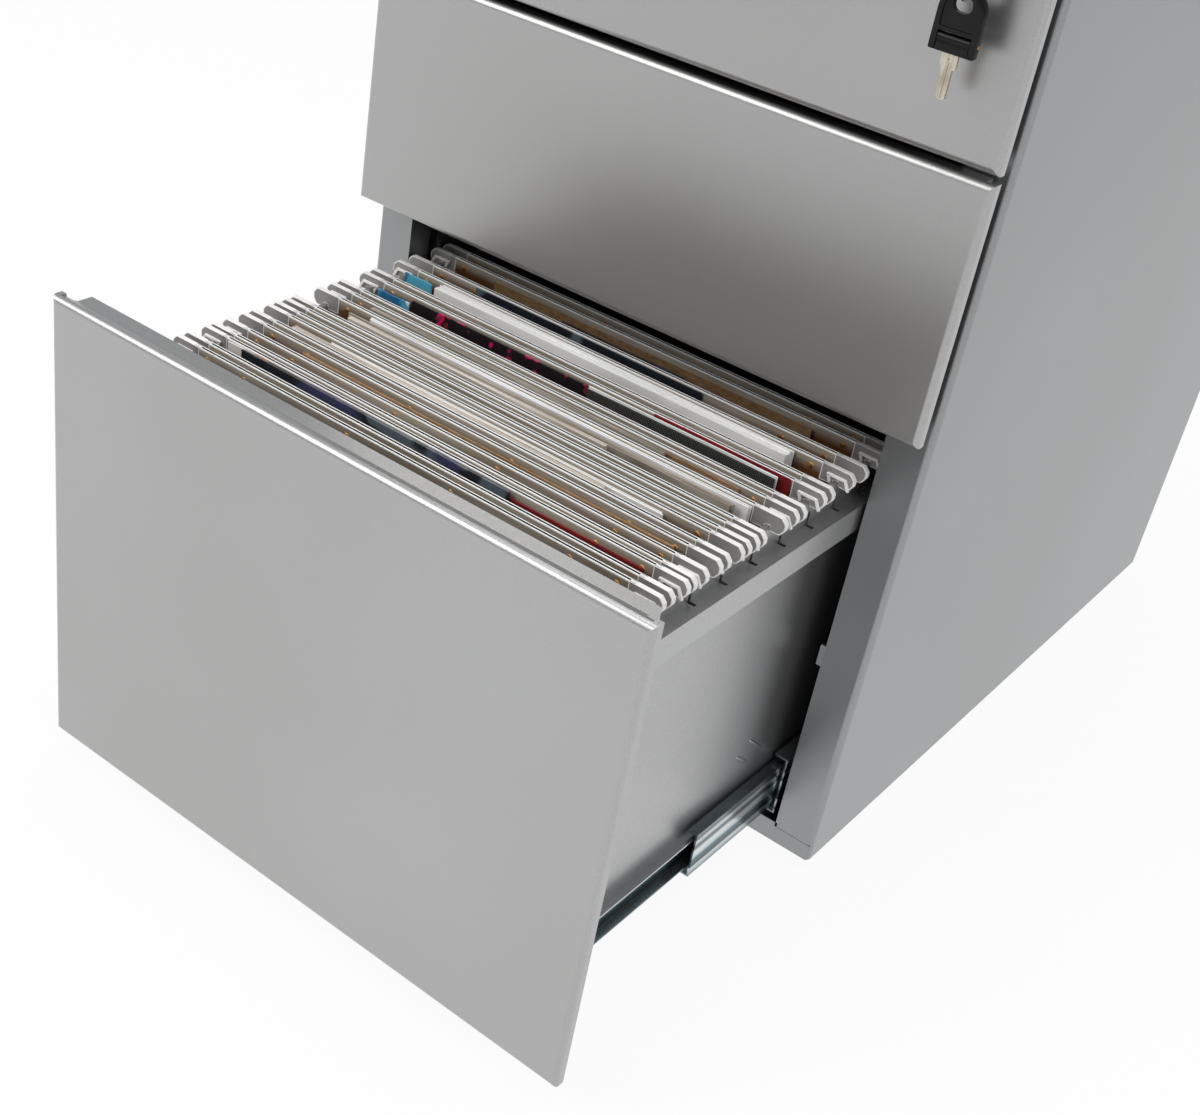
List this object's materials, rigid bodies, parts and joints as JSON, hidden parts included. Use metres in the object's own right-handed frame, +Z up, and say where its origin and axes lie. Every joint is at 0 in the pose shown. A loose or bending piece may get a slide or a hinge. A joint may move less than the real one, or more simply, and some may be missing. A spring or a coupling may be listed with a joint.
{
  "type": "filing drawer unit",
  "caption": "Under-desk steel pedestal with box drawers over a file drawer that stands open on ball slides, holding suspension files, with a central lock.",
  "frame": {"origin": "centre of the bounding box at floor level, with the file drawer standing open as pictured", "axes": "+Y to the back, the drawers open towards -Y; +Z up; +X to the right of a person facing the drawers"},
  "size_m": [0.42, 0.8386, 0.652],
  "materials": {
    "silver_paint": "satin silver-grey powder coat",
    "zinc_plate": "bright zinc plate",
    "black_plastic": "moulded",
    "lock_chrome": "polished",
    "key_brass": "nickel-brass, worn",
    "file_paper": "kraft board",
    "white_plastic": "moulded",
    "papers": "matte"
  },
  "bodies": {
    "case": {"side_panel_left": "silver_paint", "side_panel_right": "silver_paint", "base_pan": "silver_paint", "top_panel": "silver_paint", "back_panel": "silver_paint", "front_uprights": "zinc_plate", "rear_uprights": "zinc_plate", "glide_nuts": "zinc_plate", "slide_fixings": "zinc_plate", "file_slide_outer_left": "zinc_plate", "file_slide_outer_right": "zinc_plate", "middle_slide_outer_pair": "zinc_plate", "top_slide_outer_pair": "zinc_plate", "slide_front_stops": "black_plastic", "lock_bar_guides": "black_plastic"},
    "lock_bar": {"lock_bar": "zinc_plate"},
    "glide_left_front": {"levelling_glide_left_front": "black_plastic"},
    "glide_left_rear": {"levelling_glide_left_rear": "black_plastic"},
    "glide_right_front": {"levelling_glide_right_front": "black_plastic"},
    "glide_right_rear": {"levelling_glide_right_rear": "black_plastic"},
    "file_slide_middle": {"file_slide_middle_left": "zinc_plate", "file_slide_middle_right": "zinc_plate"},
    "file_cages_outer": {"file_slide_cages_outer": "zinc_plate"},
    "file_cages_inner": {"file_slide_cages_inner": "zinc_plate"},
    "file_drawer": {"file_drawer_front": "silver_paint", "file_drawer_tray": "silver_paint", "file_drawer_fixings": "zinc_plate", "file_drawer_catch": "zinc_plate", "file_slide_inner_left": "zinc_plate", "file_slide_inner_right": "zinc_plate"},
    "middle_slide_middle": {"middle_slide_middle_pair": "zinc_plate"},
    "middle_cages_outer": {"middle_slide_cages_outer": "zinc_plate"},
    "middle_cages_inner": {"middle_slide_cages_inner": "zinc_plate"},
    "middle_drawer": {"middle_drawer_front": "silver_paint", "middle_drawer_tray": "silver_paint", "middle_drawer_fixings": "zinc_plate", "middle_drawer_catch": "zinc_plate", "middle_slide_inner_pair": "zinc_plate"},
    "top_slide_middle": {"top_slide_middle_pair": "zinc_plate"},
    "top_cages_outer": {"top_slide_cages_outer": "zinc_plate"},
    "top_cages_inner": {"top_slide_cages_inner": "zinc_plate"},
    "top_drawer": {"top_drawer_front": "silver_paint", "top_drawer_tray": "silver_paint", "top_drawer_fixings": "zinc_plate", "top_drawer_catch": "zinc_plate", "top_slide_inner_pair": "zinc_plate", "lock_housing": "lock_chrome", "lock_nut": "lock_chrome"},
    "lock_barrel": {"lock_barrel": "lock_chrome", "main_key_blade": "key_brass"},
    "main_key_bow": {"main_key_bow": "black_plastic"},
    "key_ring": {"key_ring": "lock_chrome"},
    "spare_key": {"spare_key_bow": "black_plastic"},
    "spare_blade": {"spare_key_blade": "key_brass"},
    "hanging_files": {"suspension_file_pockets": "file_paper", "suspension_file_bars": "white_plastic", "suspension_file_hooks": "white_plastic", "file_link_clips": "white_plastic", "filed_papers": "papers"}
  },
  "joints": [
    {"name": "file_drawer_slide", "type": "slide", "parent": "case", "child": "file_drawer", "axis": [0, -1, 0], "range_m": [-0.25, 0.23]},
    {"name": "file_slide_middle_travel", "type": "slide", "parent": "case", "child": "file_slide_middle", "axis": [0, -1, 0], "range_m": [-0.125, 0.115]},
    {"name": "file_cages_outer_travel", "type": "slide", "parent": "case", "child": "file_cages_outer", "axis": [0, -1, 0], "range_m": [-0.0625, 0.0575]},
    {"name": "file_cages_inner_travel", "type": "slide", "parent": "case", "child": "file_cages_inner", "axis": [0, -1, 0], "range_m": [-0.1875, 0.1725]},
    {"name": "middle_drawer_slide", "type": "slide", "parent": "case", "child": "middle_drawer", "axis": [0, -1, 0], "range_m": [0, 0.4]},
    {"name": "middle_slide_middle_travel", "type": "slide", "parent": "case", "child": "middle_slide_middle", "axis": [0, -1, 0], "range_m": [0, 0.2]},
    {"name": "middle_cages_outer_travel", "type": "slide", "parent": "case", "child": "middle_cages_outer", "axis": [0, -1, 0], "range_m": [0, 0.1]},
    {"name": "middle_cages_inner_travel", "type": "slide", "parent": "case", "child": "middle_cages_inner", "axis": [0, -1, 0], "range_m": [0, 0.3]},
    {"name": "top_drawer_slide", "type": "slide", "parent": "case", "child": "top_drawer", "axis": [0, -1, 0], "range_m": [0, 0.4]},
    {"name": "top_slide_middle_travel", "type": "slide", "parent": "case", "child": "top_slide_middle", "axis": [0, -1, 0], "range_m": [0, 0.2]},
    {"name": "top_cages_outer_travel", "type": "slide", "parent": "case", "child": "top_cages_outer", "axis": [0, -1, 0], "range_m": [0, 0.1]},
    {"name": "top_cages_inner_travel", "type": "slide", "parent": "case", "child": "top_cages_inner", "axis": [0, -1, 0], "range_m": [0, 0.3]},
    {"name": "files_along_rails", "type": "slide", "parent": "file_drawer", "child": "hanging_files", "axis": [0, 1, 0], "range_m": [-0.035, 0.19]},
    {"name": "lock_bar_lift", "type": "slide", "parent": "case", "child": "lock_bar", "axis": [0, 0, 1], "range_m": [0, 0.01018]},
    {"name": "lock_turn", "type": "hinge", "parent": "top_drawer", "child": "lock_barrel", "pos_m": [0.1756, -0.16925, 0.6045], "axis": [0, 1, 0], "range_deg": [0, 90.02]},
    {"name": "main_key_fold", "type": "hinge", "parent": "lock_barrel", "child": "main_key_bow", "pos_m": [0.1756, -0.18575, 0.6045], "axis": [-1, 0, 0], "range_deg": [0, 90]},
    {"name": "key_ring_swing", "type": "hinge", "parent": "main_key_bow", "child": "key_ring", "pos_m": [0.1756, -0.18575, 0.5852], "axis": [0, 1, 0], "range_deg": [-90.02, 0]},
    {"name": "spare_key_on_ring", "type": "hinge", "parent": "key_ring", "child": "spare_key", "pos_m": [0.1756, -0.18575, 0.5755], "axis": [-1, 0, 0], "range_deg": [-90, 0]},
    {"name": "spare_key_fold", "type": "hinge", "parent": "spare_key", "child": "spare_blade", "pos_m": [0.1756, -0.18575, 0.5465], "axis": [-1, 0, 0], "range_deg": [0, 90]},
    {"name": "glide_left_front_adjust", "type": "slide", "parent": "case", "child": "glide_left_front", "axis": [0, 0, -1], "range_m": [0, 0.01]},
    {"name": "glide_left_rear_adjust", "type": "slide", "parent": "case", "child": "glide_left_rear", "axis": [0, 0, -1], "range_m": [0, 0.01]},
    {"name": "glide_right_front_adjust", "type": "slide", "parent": "case", "child": "glide_right_front", "axis": [0, 0, -1], "range_m": [0, 0.01]},
    {"name": "glide_right_rear_adjust", "type": "slide", "parent": "case", "child": "glide_right_rear", "axis": [0, 0, -1], "range_m": [0, 0.01]}
  ],
  "couplings": [
    {"joint": "file_slide_middle_travel", "follows": "file_drawer_slide", "ratio": 0.5},
    {"joint": "file_cages_outer_travel", "follows": "file_drawer_slide", "ratio": 0.25},
    {"joint": "file_cages_inner_travel", "follows": "file_drawer_slide", "ratio": 0.75},
    {"joint": "middle_slide_middle_travel", "follows": "middle_drawer_slide", "ratio": 0.5},
    {"joint": "middle_cages_outer_travel", "follows": "middle_drawer_slide", "ratio": 0.25},
    {"joint": "middle_cages_inner_travel", "follows": "middle_drawer_slide", "ratio": 0.75},
    {"joint": "top_slide_middle_travel", "follows": "top_drawer_slide", "ratio": 0.5},
    {"joint": "top_cages_outer_travel", "follows": "top_drawer_slide", "ratio": 0.25},
    {"joint": "top_cages_inner_travel", "follows": "top_drawer_slide", "ratio": 0.75},
    {"joint": "lock_turn", "follows": "lock_bar_lift", "rad_per_m": 154.27},
    {"joint": "key_ring_swing", "follows": "lock_bar_lift", "rad_per_m": -154.27},
    {"joint": "spare_key_on_ring", "follows": "main_key_fold", "ratio": -1}
  ]
}
